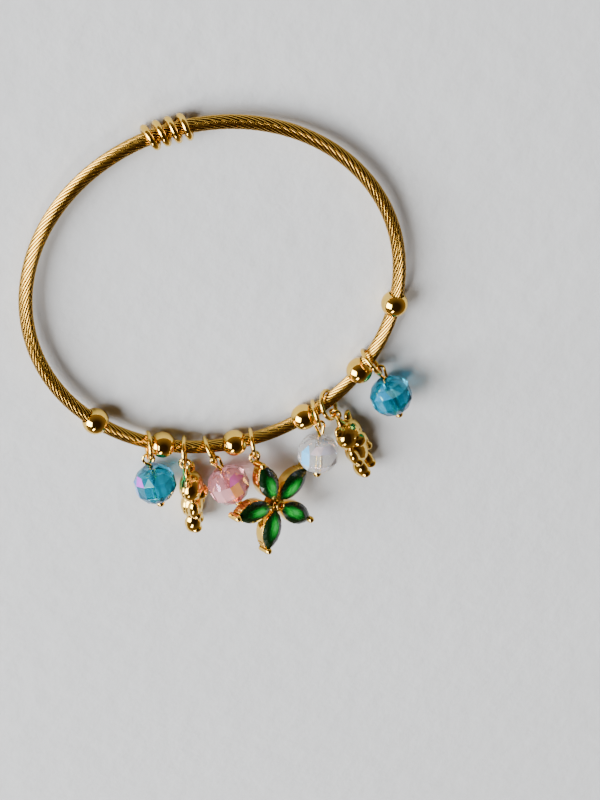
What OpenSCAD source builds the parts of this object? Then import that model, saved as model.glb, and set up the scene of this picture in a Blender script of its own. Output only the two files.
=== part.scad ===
// Charm bangle: a closed hoop of gold-coloured twisted cable with six stopper balls, a wire wrap
// at the top and seven small drops on jump rings. Millimetres. It lies on its side on z = 0, the
// middle of the hoop is at x = y = 0, and the drops lie outwards on its -Y side.

/* [Bangle] */
// Inside diameter of the hoop
inner_d = 65; // [63.5:0.5:68]
// Diameter of the cable over its strands
cable_d = 2.5; // [2.4:0.05:2.5]
// Number of outer strands in the cable
strand_count = 14; // [12:2:16]
// Turns that the strands make in one trip round the hoop
cable_turns = 10.5; // [9.5:0.5:11.5]
// Depth of the valley between two strands
valley_depth = 0.11; // [0.06:0.01:0.15]

/* [Stopper balls] */
// Diameter of a stopper ball, which also sets the height of the hoop above the surface
ball_d = 5; // [5:0.01:5.05]
// Gap all round between a ball's bore and the cable
bore_gap = 0.1; // [0.1:0.02:0.16]

/* [Wire wrap] */
// Diameter of the wrapped wire
wrap_wire = 1.2; // [1:0.05:1.2]
// Turns of the wrap round the cable
wrap_turns = 4; // [2:1:5]
// Distance between two turns along the cable
wrap_pitch = 2; // [1.6:0.1:2.2]

/* [Jump rings] */
// Outside diameter of a jump ring
ring_od = 6.2; // [6.1:0.05:6.25]
// Diameter of the wire of a jump ring
ring_wire = 0.8; // [0.7:0.05:0.8]

/* [Crystals and pins] */
// Nominal size of a crystal, a little over its width
crystal_d = 8; // [7.8:0.1:8]
// Height of a crystal along its bore
crystal_h = 7.4; // [7:0.1:7.6]
// Facets in one row round a crystal
crystal_sides = 12; // [8:2:14]
// Diameter of the bore through a crystal
crystal_bore = 1.1; // [1:0.1:1.3]
// Diameter of the wire of a head pin
pin_wire = 0.56; // [0.5:0.02:0.6]
// Diameter of the ball at the end of a head pin
pin_ball = 1.6; // [1.4:0.1:1.8]

/* [Flower] */
// Length of a petal stone
stone_l = 8; // [7.8:0.1:8.2]
// Width of a petal stone
stone_w = 4.3; // [4:0.1:4.4]
// Distance from the middle of the flower to the middle of a stone
petal_reach = 5.2; // [5.1:0.05:5.3]
// Depth of the setting from its back to its rim
setting_depth = 2.2; // [2:0.1:2.4]
// Tilt of the flower, whose left petal lies on the rose crystal
flower_tilt = 29; // [28:0.5:30]

/* [Hidden] */

hoop_r = inner_d / 2 + cable_d / 2;
hoop_z = ball_d / 2;
floor_gap = 0.02;
gold = [0.83, 0.62, 0.2];

// Places of the six stopper balls round the hoop, in degrees from +X
ball_angles = [-132.1, -107.8, -84.1, -60, -35.9, -9.5];

// A point of the hoop's centre line
function on_hoop(angle) = [hoop_r * cos(angle), hoop_r * sin(angle), hoop_z];
function heading(angle) = [cos(angle), sin(angle), 0];
// Turns a vector about +X, then about +Y, then about +Z, as rotate() does
function turn_x(v, a) = [v.x, v.y * cos(a) - v.z * sin(a), v.y * sin(a) + v.z * cos(a)];
function turn_y(v, a) = [v.x * cos(a) + v.z * sin(a), v.y, v.z * cos(a) - v.x * sin(a)];
function turn_z(v, a) = [v.x * cos(a) - v.y * sin(a), v.x * sin(a) + v.y * cos(a), v.z];
function turned(v, a) = turn_z(turn_y(turn_x(v, a.x), a.y), a.z);

// A closed skin over rings of points. An endless one joins its last ring to its first, whose
// points are then counted on by shift; any other one has a flat end at each side.
module skin(rings, endless = false, shift = 0) {
    count = len(rings);
    sides = len(rings[0]);
    last = endless ? count - 1 : count - 2;
    walls = [
        for (i = [0:last], j = [0:sides - 1])
            let (
                k = (j + 1) % sides,
                next = (i + 1) % count,
                step = i + 1 == count ? shift : 0,
                a = i * sides + j,
                b = i * sides + k,
                c = next * sides + (k + step) % sides,
                d = next * sides + (j + step) % sides
            )
            each [[a, c, b], [a, d, c]]
    ];
    ends = endless ? [] : [
        [for (j = [0:sides - 1]) j],
        [for (j = [sides - 1:-1:0]) (count - 1) * sides + j]
    ];
    polyhedron(points = [for (ring = rings) each ring], faces = concat(walls, ends));
}

// Rings of points round a path in the XY plane, whose points are [x, y, radius]
function flat_wire(path, sides) = [
    for (i = [0:len(path) - 1])
        let (
            before = path[max(i - 1, 0)],
            after = path[min(i + 1, len(path) - 1)],
            run = [after.x - before.x, after.y - before.y],
            side = [-run.y, run.x] / norm(run)
        )
        [
            for (j = [0:sides - 1])
                let (a = 360 * j / sides, out = path[i].z * cos(a))
                [path[i].x + side.x * out, path[i].y + side.y * out, path[i].z * sin(a)]
        ]
];

// Section of the cable: two points to a strand, one on its crest and one in the valley
cable_rings = 112;
module cable() {
    points_round = 2 * strand_count;
    turn_step = cable_turns * 360 / cable_rings;
    rings = [
        for (i = [0:cable_rings - 1])
            [
                for (j = [0:points_round - 1])
                    let (
                        r = cable_d / 2 - (j % 2 == 0 ? 0 : valley_depth),
                        a = -j * 360 / points_round - i * turn_step,
                        out = hoop_r + r * cos(a),
                        along = i * 360 / cable_rings
                    )
                    [out * cos(along), out * sin(along), hoop_z + r * sin(a)]
            ]
    ];
    color(gold) skin(rings, endless = true, shift = cable_turns * points_round);
}

// The wrap starts beside the highest part of the hoop and covers the cable's joint
wrap_start = 97.1;
module wire_wrap() {
    wrap_r = (cable_d + wrap_wire) / 2 + 0.04;
    steps_per_turn = 18;
    steps = wrap_turns * steps_per_turn;
    sides = 10;
    along_turn = wrap_pitch / hoop_r * 180 / PI;
    rings = [
        for (i = [0:steps])
            let (
                along = wrap_start + along_turn * i / steps_per_turn,
                round = -90 - 360 * i / steps_per_turn,
                r = wrap_wire / 2 * (i == 0 || i == steps ? 0.6 : 1),
                out = heading(along) * cos(round) + [0, 0, sin(round)]
            )
            [
                for (j = [0:sides - 1])
                    let (a = -360 * j / sides)
                    on_hoop(along) + out * (wrap_r + r * cos(a)) + heading(along + 90) * r * sin(a)
            ]
    ];
    color(gold) skin(rings);
}

// A straight bore through a ball clears the curved cable, so the ball sits a little inwards
module stopper_ball(angle) {
    bow = pow(ball_d / 2, 2) / (4 * hoop_r);
    color(gold) rotate(angle) translate([hoop_r - bow, 0, hoop_z]) difference() {
        sphere(d = ball_d, $fn = 64);
        rotate([90, 0, 0])
            cylinder(d = cable_d + 2 * (bore_gap + bow), h = ball_d + 1, center = true, $fn = 64);
    }
}

// Jump rings. Each hangs round the cable at cable_angle, points along ring_heading and leans by
// lean; out and up are the steps from the cable's middle to the ring's middle in its own plane.
RING_ANGLE = 0;
RING_HEADING = 1;
RING_LEAN = 2;
RING_OUT = 3;
RING_UP = 4;
ring_table = [
    // cable_angle, ring_heading, lean, out, up
    [-112.6, -92, 0, 0.6, 0.64],
    [-100.5, -88, 12, 0.6, 0.58],
    [-92.6, -68, 0, 0.6, 0.64],
    [-78.4, -82, 4, 0.6, 0.64],
    [-55.7, -74, 4, 0.6, 0.64],
    [-50.7, -60, 28, 0.6, 0.36],
    [-30.6, -50, 0, 0.5, 0.64]
];
ring_r = (ring_od - ring_wire) / 2;

function ring_up(n) =
    let (lean = ring_table[n][RING_LEAN], side = heading(ring_table[n][RING_HEADING] - 90))
    [0, 0, cos(lean)] + side * sin(lean);
function ring_middle(n) =
    let (row = ring_table[n])
    on_hoop(row[RING_ANGLE]) + heading(row[RING_HEADING]) * row[RING_OUT] + ring_up(n) * row[RING_UP];
// The point at height z on the ring's outer side, moved outwards by slack
function ring_end(n, z, slack) =
    let (
        row = ring_table[n],
        climb = asin((z - ring_middle(n).z) / (ring_r * cos(row[RING_LEAN]))),
        reach = ring_r + slack
    )
    ring_middle(n) + heading(row[RING_HEADING]) * reach * cos(climb) + ring_up(n) * ring_r * sin(climb);

module jump_ring(n) {
    row = ring_table[n];
    color(gold) translate(ring_middle(n)) rotate([0, 0, row[RING_HEADING]])
        rotate([90 + row[RING_LEAN], 0, 0])
            rotate_extrude($fn = 48) translate([ring_r, 0]) circle(d = ring_wire, $fn = 16);
}

// Crystals and their pins. A drop's own frame has +X from its eye outwards along the pin, and the
// middle of the crystal at the origin. Each drop rests on the crystal's lowest corner.
crystal_rows = [
    // height and radius as shares of half the crystal's height and size, half step round
    [1, 0.38, 0],
    [0.75, 0.74, 1],
    [0.36, 0.975, 0],
    [-0.36, 0.975, 0],
    [-0.75, 0.74, 1],
    [-1, 0.38, 0]
];
crystal_points = [
    for (row = crystal_rows, i = [0:crystal_sides - 1])
        let (a = (i + row[2] / 2) * 360 / crystal_sides, r = row[1] * crystal_d / 2)
        [row[0] * crystal_h / 2, r * cos(a), r * sin(a)]
];

DROP_RING = 0;
DROP_HEADING = 1;
DROP_PITCH = 2;
DROP_SPIN = 3;
DROP_LOOP = 4;
crystal_table = [
    // ring, heading, pitch, spin, loop: 0 round or 1 long
    [0, -79, 11, 4, 0],
    [2, -66, 10, -6, 1],
    [4, -93, 10, 9, 1],
    [6, -68, 10, 0, 1]
];
crystal_colors = [[0.15, 0.62, 0.75], [0.9, 0.68, 0.72], [0.88, 0.9, 0.95], [0.15, 0.62, 0.75]];

// Head pins, each with a round or a long loop: distance of the loop's arc from the crystal's
// middle, its radius, its play on the jump ring and the angle at which the arc starts
loop_at = [5.4, 5.95];
loop_r = [1.02, 0.86];
loop_slack = [0.24, 0.12];
loop_from = [42, 78];
pin_neck = 0.4;
ball_sink = 0.15;

function crystal_turn(n) =
    let (row = crystal_table[n])
    [row[DROP_SPIN], -row[DROP_PITCH], row[DROP_HEADING]];
function crystal_height(n) =
    floor_gap - min([for (p = crystal_points) turned(p, crystal_turn(n)).z]);
function crystal_middle(n) =
    let (
        row = crystal_table[n],
        arm = loop_at[row[DROP_LOOP]],
        z = crystal_height(n),
        eye = ring_end(row[DROP_RING], z - arm * sin(row[DROP_PITCH]), loop_slack[row[DROP_LOOP]]),
        out = eye + heading(row[DROP_HEADING]) * arm * cos(row[DROP_PITCH])
    )
    [out.x, out.y, z];

module crystal(n) {
    color(crystal_colors[n]) translate(crystal_middle(n)) rotate(crystal_turn(n)) difference() {
        hull() polyhedron(points = crystal_points, faces = [[for (i = [0:len(crystal_points) - 1]) i]]);
        rotate([0, 90, 0]) cylinder(d = crystal_bore, h = crystal_h + 1, center = true, $fn = 32);
    }
}

// A head pin is one wire: round its loop, through the crystal and out to its ball
module head_pin(n) {
    kind = crystal_table[n][DROP_LOOP];
    r = loop_r[kind];
    at = -loop_at[kind];
    wire = pin_wire / 2;
    neck = -crystal_h / 2 - pin_neck;
    from = loop_from[kind];
    to = 360 - (kind == 0 ? from - 4 : from);
    beside = pin_wire + 0.05;
    loop_steps = kind == 0 ? 14 : 10;
    loop = [
        for (i = [0:loop_steps])
            let (a = from + (to - from) * i / loop_steps)
            [at + r * cos(a), r * sin(a), wire]
    ];
    ball_at = crystal_h / 2 + pin_ball / 2 - ball_sink;
    ball = [
        for (a = [160:-20:20]) [ball_at + pin_ball / 2 * cos(a), 0, pin_ball / 2 * sin(a)]
    ];
    path = concat(
        kind == 0 ? [] : [[neck, beside, wire]],
        loop,
        [[neck, 0, wire], [neck + pin_neck, 0, wire]],
        ball
    );
    color(gold) translate(crystal_middle(n)) rotate(crystal_turn(n))
        rotate([crystal_table[n][DROP_SPIN] * -1, 0, 0]) skin(flat_wire(path, 8));
}

// Bear charms. A bear's own frame has +X from its eye to its feet, +Y to its left side and +Z in
// front of it, and the middle of its eye at the origin.
bear_table = [
    // x, y, z, length, width, depth of each rounded form
    [2.7, 2.2, 0.9, 2.3, 2.4, 1.5],
    [2.7, -2.2, 0.9, 2.3, 2.4, 1.5],
    [5.6, 0, 1.1, 6, 6.5, 4.8],
    [6.8, 0, 3.15, 2.8, 3.4, 2.6],
    [10.3, 0, 1.2, 6, 5, 4.5],
    [9.7, 2.3, 1.9, 4.2, 1.9, 2.2],
    [9.7, -2.3, 1.9, 4.2, 1.9, 2.2],
    [14.1, 1.25, 1.5, 4.8, 2.5, 3.3],
    [14.1, -1.25, 1.5, 4.8, 2.5, 3.3]
];
eye_r = 1;
eye_wire = 0.72;
eye_slack = 0.1;

BEAR_RING = 0;
BEAR_HEADING = 1;
BEAR_PITCH = 2;
BEAR_ROLL = 3;
bear_rows = [
    // ring, heading, pitch, roll of the face towards the left
    [1, -89, -4, 72],
    [5, -69, -4, 50]
];

function bear_turn(n) = let (row = bear_rows[n]) [-row[BEAR_ROLL], -row[BEAR_PITCH], row[BEAR_HEADING]];
// Height of the eye's middle with the lowest form on the surface
function bear_height(n) =
    let (
        a = bear_turn(n),
        down = [for (axis = [[1, 0, 0], [0, 1, 0], [0, 0, 1]]) turned(axis, a).z]
    )
    floor_gap - min([
        for (b = bear_table)
            down * [b[0], b[1], b[2]] - norm([down.x * b[3], down.y * b[4], down.z * b[5]]) / 2
    ]);

module ellipsoid(size) {
    hull() scale(size) sphere(d = 1, $fn = 14);
}

module bear_charm(n) {
    eye = ring_end(bear_rows[n][BEAR_RING], bear_height(n), eye_slack);
    color(gold) translate(eye) rotate(bear_turn(n)) {
        for (b = bear_table) translate([b[0], b[1], b[2]]) ellipsoid([b[3], b[4], b[5]]);
        rotate([90, 0, 0]) rotate_extrude($fn = 16) translate([eye_r, 0]) circle(d = eye_wire, $fn = 8);
        hull() {
            translate([eye_r + 0.1, 0, 0]) sphere(d = 0.9, $fn = 12);
            translate([3, 0, 0]) sphere(d = 1.5, $fn = 12);
        }
    }
}

// Flower. Its own frame has the back of the setting on z = 0, the middle of the flower at the
// origin and the first petal, which carries the loop, along +X.
petal_wall = 0.32;
stone_gap = 0.04;
back_plate = 0.3;
prong_r = 0.66;
prong_at = petal_reach + stone_l / 2 + 0.2;
prong_rise = 0.3;
stone_notch = 0.5;
middle_r = 1.7;
cup_r = 0.96;
cup_bore_r = 0.64;
cup_depth = 0.9;
cup_rise = 1.3;
flower_ring = 3;
flower_heading = -74;
flower_low_side = 32;
loop_mid = 1;
loop_wire = 0.62;
flower_loop_at = [prong_at + prong_r + loop_mid - 0.1, 0, 0.62];
flower_slack = 0.12;

// Turns of the flower: its first petal points back at the hoop, and its low side is down
function flower_turned(v) =
    turn_z(turn_y(turn_z(v, flower_heading + 180 - flower_low_side), flower_tilt), flower_low_side);
function petal_tip(i) = turn_z([prong_at + prong_r, 0, 0], 72 * i);
flower_middle =
    let (
        z = floor_gap - min([for (i = [0:4]) flower_turned(petal_tip(i)).z]),
        arm = flower_turned(flower_loop_at),
        end = ring_end(flower_ring, z + arm.z, flower_slack),
        out = end - arm
    )
    [out.x, out.y, z];

module place_flower() {
    translate(flower_middle) rotate([0, 0, flower_low_side]) rotate([0, flower_tilt, 0])
        rotate([0, 0, flower_heading + 180 - flower_low_side]) children();
}

// A marquise of two equal arcs, grown all round by more
module marquise(more) {
    half_l = stone_l / 2;
    half_w = stone_w / 2;
    arc_r = (half_l * half_l + half_w * half_w) / (2 * half_w);
    intersection() {
        translate([0, arc_r - half_w]) circle(r = arc_r + more, $fn = 96);
        translate([0, half_w - arc_r]) circle(r = arc_r + more, $fn = 96);
    }
}

// Walls under the rims of the stones, a post at each petal's end whose round top clasps the stone's
// point, a small cup in the middle and the loop, in one casting
module flower_setting() {
    top = setting_depth + prong_rise;
    color(gold) place_flower() {
        difference() {
            union() {
                linear_extrude(setting_depth + stone_gap) {
                    for (i = [0:4]) rotate(72 * i) translate([petal_reach, 0]) marquise(0);
                    circle(r = middle_r, $fn = 48);
                }
                for (i = [0:4]) rotate(72 * i) translate([prong_at, 0, 0]) {
                    cylinder(r = prong_r, h = top, $fn = 32);
                    translate([0, 0, top]) sphere(r = prong_r, $fn = 32);
                }
            }
            for (i = [0:4]) rotate(72 * i) translate([petal_reach, 0, back_plate])
                linear_extrude(setting_depth) marquise(-petal_wall);
            for (i = [0:4]) rotate(72 * i) translate([petal_reach, 0, setting_depth])
                linear_extrude(stone_notch) marquise(stone_gap);
        }
        difference() {
            cylinder(r = cup_r, h = setting_depth + cup_rise, $fn = 32);
            translate([0, 0, setting_depth + cup_rise - cup_depth])
                cylinder(r = cup_bore_r, h = cup_depth + 1, $fn = 32);
        }
        translate(flower_loop_at) rotate_extrude($fn = 32)
            translate([loop_mid, 0]) circle(d = loop_wire, $fn = 16);
    }
}

// A petal stone lies on the walls by its rim: flat table, two rows of crown facets, thin girdle, and
// a narrower keeled pavilion that hangs in the hollow of the petal
stone_crown = [
    // height above the rim, share of the girdle's length, share of its width
    [0.95, 0.5, 0.42],
    [0.62, 0.78, 0.76],
    [0.16, 1, 1],
    [0, 1, 1]
];
stone_pavilion = [
    [0.01, 0.83, 0.8],
    [-1.1, 0.5, 0.14]
];
stone_steps = 12;
function marquise_point(i) =
    let (
        half_l = stone_l / 2,
        half_w = stone_w / 2,
        arc_r = (half_l * half_l + half_w * half_w) / (2 * half_w),
        half = stone_steps / 2,
        upper = i < half,
        a = asin(half_l / arc_r) * (1 - 2 * (i % half) / half),
        x = arc_r * sin(a),
        y = arc_r * cos(a) - (arc_r - half_w)
    )
    upper ? [x, y] : [-x, -y];

module cut_stone(rows) {
    points = [
        for (row = rows, k = [0:stone_steps - 1])
            let (p = marquise_point(k))
            [p.x * row[1], p.y * row[2], row[0]]
    ];
    hull() polyhedron(points = points, faces = [[for (k = [0:len(points) - 1]) k]]);
}

module petal_stone(i) {
    color([0.02, 0.42, 0.12]) place_flower() rotate(72 * i)
        translate([petal_reach, 0, setting_depth + stone_gap]) {
            cut_stone(stone_crown);
            cut_stone(stone_pavilion);
        }
}

cable();
wire_wrap();
for (i = [1:6]) stopper_ball(ball_angles[i - 1]);
for (i = [1:7]) jump_ring(i - 1);
crystal(0);  // crystal_blue_left
crystal(1);  // crystal_rose
crystal(2);  // crystal_clear
crystal(3);  // crystal_blue_right
head_pin(0);  // head_pin_blue_left
head_pin(1);  // head_pin_rose
head_pin(2);  // head_pin_clear
head_pin(3);  // head_pin_blue_right
bear_charm(0);  // bear_charm_left
bear_charm(1);  // bear_charm_right
flower_setting();
for (i = [1:5]) petal_stone(i - 1);
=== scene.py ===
import math

import bmesh
import bpy
from bpy.props import FloatProperty, FloatVectorProperty, IntProperty, PointerProperty
from mathutils import Matrix, Vector


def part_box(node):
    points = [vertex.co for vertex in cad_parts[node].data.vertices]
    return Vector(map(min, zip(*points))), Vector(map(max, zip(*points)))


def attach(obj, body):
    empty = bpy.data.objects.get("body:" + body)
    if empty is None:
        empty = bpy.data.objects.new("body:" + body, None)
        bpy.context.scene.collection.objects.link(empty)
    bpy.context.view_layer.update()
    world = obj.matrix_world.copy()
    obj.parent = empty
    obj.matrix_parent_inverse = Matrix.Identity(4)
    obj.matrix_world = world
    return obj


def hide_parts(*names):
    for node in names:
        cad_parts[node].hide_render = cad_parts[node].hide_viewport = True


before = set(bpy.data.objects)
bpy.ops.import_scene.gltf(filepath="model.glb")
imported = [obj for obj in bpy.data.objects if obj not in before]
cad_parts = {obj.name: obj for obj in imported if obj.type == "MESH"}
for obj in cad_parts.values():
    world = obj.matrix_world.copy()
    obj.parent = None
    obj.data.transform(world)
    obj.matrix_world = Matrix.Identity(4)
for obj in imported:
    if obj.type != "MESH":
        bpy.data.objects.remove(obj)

bl_info = {
    "name": "Charm Bangle",
    "version": (1, 0, 0),
    "blender": (4, 5, 0),
    "location": "3D View > Sidebar > Bangle",
    "description": "Dresses the solids of a twisted-cable charm bangle with its metal, glass and stones",
    "category": "Object",
}

# Sizes in the sidebar are in metres, as the frame is. Shapes are modelled in millimetres, each in
# its own frame, and are scaled and put in place last. Angles in these tables are in degrees.
MM = 0.001
# Gap between the surface and the drops that lie on it
FLOOR_GAP = 0.02

# The cable's mesh: points round one strand, rings round the hoop, and the arc of a strand that shows
STRAND_POINTS = 7
CABLE_RINGS = 336
STRAND_ARC = 170

# The wrap: where it starts on the hoop, steps in one turn, steps left off at each end, and its gap
# over the cable
WRAP_START = 97.1
WRAP_STEPS = 40
WRAP_TRIM = 3
WRAP_GAP = 0.04

# Places of the stopper balls round the hoop, from +X, then their mesh and the easing of their mouths
BALL_ANGLES = (-132.1, -107.8, -84.1, -60.0, -35.9, -9.5)
BALL_ROWS = 40
BALL_SIDES = 80
BALL_MOUTH_EASE = 0.09

# Each jump ring: its place on the cable, the way it points, its lean, and the steps outwards and
# upwards from the cable's middle to the ring's middle
RINGS = (
    (-112.6, -92, 0, 0.6, 0.64),
    (-100.5, -88, 12, 0.6, 0.58),
    (-92.6, -68, 0, 0.6, 0.64),
    (-78.4, -82, 4, 0.6, 0.64),
    (-55.7, -74, 4, 0.6, 0.64),
    (-50.7, -60, 28, 0.6, 0.36),
    (-30.6, -50, 0, 0.5, 0.64),
)
# A jump ring's cut: its place round the ring, half its width, and the easing of its edges
RING_CUT = 118
RING_CUT_HALF = 0.35
RING_CUT_EASE = 0.04
RING_STEPS = 72

# Each crystal drop: node name, heading, pitch, spin, and its kind of loop, 0 round or 1 long
CRYSTALS = (
    ("blue_left", -79, 11, 4, 0),
    ("rose", -66, 10, -6, 1),
    ("clear", -93, 10, 9, 1),
    ("blue_right", -68, 10, 0, 1),
)
# Rows of a crystal's corners: height and radius as shares, and whether it is half a step round
CRYSTAL_ROWS = (
    (1.0, 0.38, 0),
    (0.75, 0.74, 1),
    (0.36, 0.975, 0),
    (-0.36, 0.975, 0),
    (-0.75, 0.74, 1),
    (-1.0, 0.38, 0),
)
CRYSTAL_EDGE = 0.035
# Painted reflections of each crystal's coating, bright and dark, each on a patch of its facets:
# angle round its bore, height as a share, how far the patch reaches, its colour, and how much
# of that colour shows
COAT_REFLECTIONS = {
    "blue_left": (
        (142, -0.45, 15, (0.6, 0.06, 0.75), 0.95),
        (162, -0.2, 18, (0.12, 0.2, 0.7), 0.7),
        (100, -0.4, 16, (0.3, 0.75, 0.7), 0.5),
        (60, -0.3, 30, (0.0, 0.25, 0.38), 0.5),
    ),
    "rose": (
        (53, -0.5, 20, (0.55, 0.05, 0.38), 0.8),
        (86, 0.0, 16, (0.95, 0.42, 0.05), 0.8),
        (60, 0.1, 16, (0.9, 0.35, 0.45), 0.5),
        (120, -0.1, 24, (0.85, 0.55, 0.55), 0.4),
    ),
    "clear": (
        (142, -0.18, 20, (0.1, 0.52, 0.95), 0.95),
        (150, 0.4, 16, (0.35, 0.7, 0.95), 0.6),
        (96, -0.5, 14, (0.88, 0.5, 0.66), 0.45),
        (56, -0.6, 18, (0.6, 0.5, 0.9), 0.4),
        (70, 0.3, 16, (0.75, 0.6, 0.9), 0.3),
    ),
    "blue_right": (
        (85, -0.5, 16, (0.35, 0.8, 0.78), 0.3),
        (121, -0.7, 18, (0.03, 0.25, 0.6), 0.5),
        (130, 0.1, 16, (0.0, 0.2, 0.4), 0.4),
    ),
}

# Loops of the head pins, round and long: distance from the crystal's middle to the loop's middle,
# its radius, and the first and the last angle of its arc
LOOP_AT = (5.4, 5.95)
LOOP_RADIUS = (1.02, 0.86)
LOOP_ARC = ((42, 322), (78, 282))
# Length of a pin's neck over its crystal, and how far its ball reaches into the bore's mouth
PIN_NECK = 0.4
PIN_BALL_SUNK = 0.15

# Each bear: node name, its jump ring from 0, heading, pitch, and roll of the face towards the left
BEARS = (("left", 1, -89, -4, 72), ("right", 5, -69, -4, 50))
# Rounded forms of a bear, +X from its wire eye to its feet, +Y its left side and +Z its front:
# middle x, y, z, then length, width and depth
BEAR_FORMS = (
    (2.7, 2.2, 0.9, 2.3, 2.4, 1.5),
    (2.7, -2.2, 0.9, 2.3, 2.4, 1.5),
    (5.6, 0, 1.1, 6, 6.5, 4.8),
    (6.8, 0, 3.15, 2.8, 3.4, 2.6),
    (10.3, 0, 1.2, 6, 5, 4.5),
    (9.7, 2.3, 1.9, 4.2, 1.9, 2.2),
    (9.7, -2.3, 1.9, 4.2, 1.9, 2.2),
    (14.1, 1.25, 1.5, 4.8, 2.5, 3.3),
    (14.1, -1.25, 1.5, 4.8, 2.5, 3.3),
)
# Smaller forms over them: each side's foot and hand, and the nose
BEAR_DETAILS = (
    (15.3, 1.3, 2.1, 2.0, 2.2, 2.5),
    (11.1, 2.2, 2.6, 1.7, 1.8, 1.7),
    (15.3, -1.3, 2.1, 2.0, 2.2, 2.5),
    (11.1, -2.2, 2.6, 1.7, 1.8, 1.7),
    (6.25, 0, 4.0, 1.0, 1.35, 0.85),
)
# Dishes in the left ear and under the left eye, mirrored to the right: middle, radius and depth
BEAR_DISHES = (((2.6, 3.05, 1.45), 0.95, 0.5), ((5.2, 1.1, 3.5), 0.6, 0.16))
# The left eye's knob: middle, and length, width and depth
BEAR_KNOB = ((5.2, 1.1, 3.14), (0.55, 0.55, 0.4))
# Cast lines round a bear: height, width and depth, and where along the bear they begin
BEAR_GROOVES = ((0.1, 0.14, 0.16), (-0.62, 0.1, 0.08))
BEAR_GROOVE_START = 3.4
# The stem from the wire eye to the head: points and radii
BEAR_STEM = (
    ((1.05, 0, 0), 0.42), ((1.9, 0, 0.1), 0.58), ((2.6, 0, 0.3), 0.85), ((3.4, 0, 0.5), 1.1),
)
# The wire eye: radius to the wire's middle, the wire's diameter, and its slack in the jump ring
BEAR_EYE_RADIUS = 1.0
BEAR_EYE_WIRE = 0.72
BEAR_EYE_SLACK = 0.1

# The flower: its jump ring from 0, its heading, its low side, and its slack in the ring
FLOWER_RING = 3
FLOWER_HEADING = -74
FLOWER_LOW_SIDE = 32
FLOWER_SLACK = 0.12
# Its loop: radius to the wire's middle, the wire's diameter, how far it is sunk into its prong,
# and the height of its middle
FLOWER_LOOP_MIDDLE = 1.0
FLOWER_LOOP_WIRE = 0.62
FLOWER_LOOP_SUNK = 0.1
FLOWER_LOOP_HEIGHT = 0.62
PETALS = 5
PETAL_STEP = 360 / PETALS
# Prongs: radius, the step from a stone's point to a prong's middle, the rise of the post over the
# petal's wall, and the easing of its foot
PRONG_RADIUS = 0.66
PRONG_STEP = 0.2
PRONG_RISE = 0.3
PRONG_EASE = 0.08
# The plate under a stone, and the gap between the stone and its wall
PLATE = 0.3
STONE_GAP = 0.04
# Rows of a petal stone's corners, of its crown and of its pavilion: height, shares of its length
# and width, and shift round in corners
STONE_SIDES = 14
STONE_ROWS = (
    ((0.95, 0.5, 0.42, 0), (0.62, 0.78, 0.76, 0.5), (0.16, 1, 1, 0), (0, 1, 1, 0)),
    ((0.01, 0.83, 0.8, 0), (-0.55, 0.66, 0.5, 0.5), (-1.1, 0.5, 0.14, 0)),
)
# Ribs on a petal's wall: radius, their places from 0 at its middle to 1 at its point, and the
# height left free over and under them
RIB_RADIUS = 0.17
RIB_PLACES = (0.86, 0.72)
RIB_FREE = 0.2
# The disc in the flower's middle and the cup on it
DISC_RADIUS = 1.7
CUP_RADIUS = 0.96
CUP_BORE = 0.64
CUP_DEPTH = 0.9
CUP_RISE = 1.3

# Each plating: lowest and highest roughness, depth of its ripple in metres, and ripples to a metre
PLATINGS = {
    "polished_plating": (0.05, 0.1, 0.000004, 500),
    "wire_plating": (0.08, 0.16, 0.0000015, 2000),
    "cast_plating": (0.06, 0.13, 0.000004, 1200),
}
# Thickness of each glass's thin film, in nanometres
FILMS = {"blue_glass": 420, "rose_glass": 520, "clear_glass": 360}

# Each light: its place, size, power and colour. Both face the middle of the bangle.
LIGHTS = {
    "window": ((-1.86, 0.0, 1.08), (1.5, 1.8), 207, (0.96, 0.98, 1.0)),
    "doorway": ((-0.75, -1.65, 1.5), (0.36, 0.9), 27, (1.0, 0.95, 0.88)),
}
# The room's light by height: low down and high up
ROOM = ((0.1, (0.3, 0.21, 0.14, 1)), (0.85, (0.03, 0.018, 0.01, 1)))
FLOOR_HALF = 2.5

# The camera: its lens and sensor in millimetres, its place in metres, and its own directions
CAMERA_LENS = 76.5
CAMERA_SENSOR = 36
CAMERA_NEAR = 0.01
CAMERA_AT = (-0.0458, 0.1605, 0.2568)
CAMERA_RIGHT = (0.97587, 0.02835, 0.21652)
CAMERA_DOWN = (-0.10280, -0.81515, 0.57006)
CAMERA_AHEAD = (0.19265, -0.57856, -0.79256)


def length(name, default, note, low=0.0001):
    """A property that holds a length in metres."""
    return FloatProperty(
        name=name, description=note, default=default * MM, min=low, max=0.2,
        subtype="DISTANCE", unit="LENGTH", precision=5,
    )


def tint(name, default, note):
    """A property that holds a colour."""
    return FloatVectorProperty(
        name=name, description=note, default=default, min=0, max=1, size=3, subtype="COLOR"
    )


class BangleSizes(bpy.types.PropertyGroup):
    inner: length("Inside diameter", 65, "Inside diameter of the hoop")
    cable: length("Cable", 2.5, "Diameter of the cable over its strands")
    strands: IntProperty(
        name="Strands", description="Outer strands of the cable", default=14, min=6
    )
    turns: FloatProperty(
        name="Cable turns", description="Turns of the strands in one trip round the hoop",
        default=10.5,
    )
    ball: length("Ball", 5, "Diameter of a stopper ball")
    bore_gap: length("Bore gap", 0.1, "Gap between a ball's bore and the cable", low=0.0)
    wrap_wire: length("Wrap wire", 1.2, "Diameter of the wrapped wire")
    wrap_turns: IntProperty(
        name="Wrap turns", description="Turns of the wrap", default=4, min=1
    )
    wrap_pitch: length("Wrap pitch", 2, "Distance between two turns of the wrap")


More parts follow.
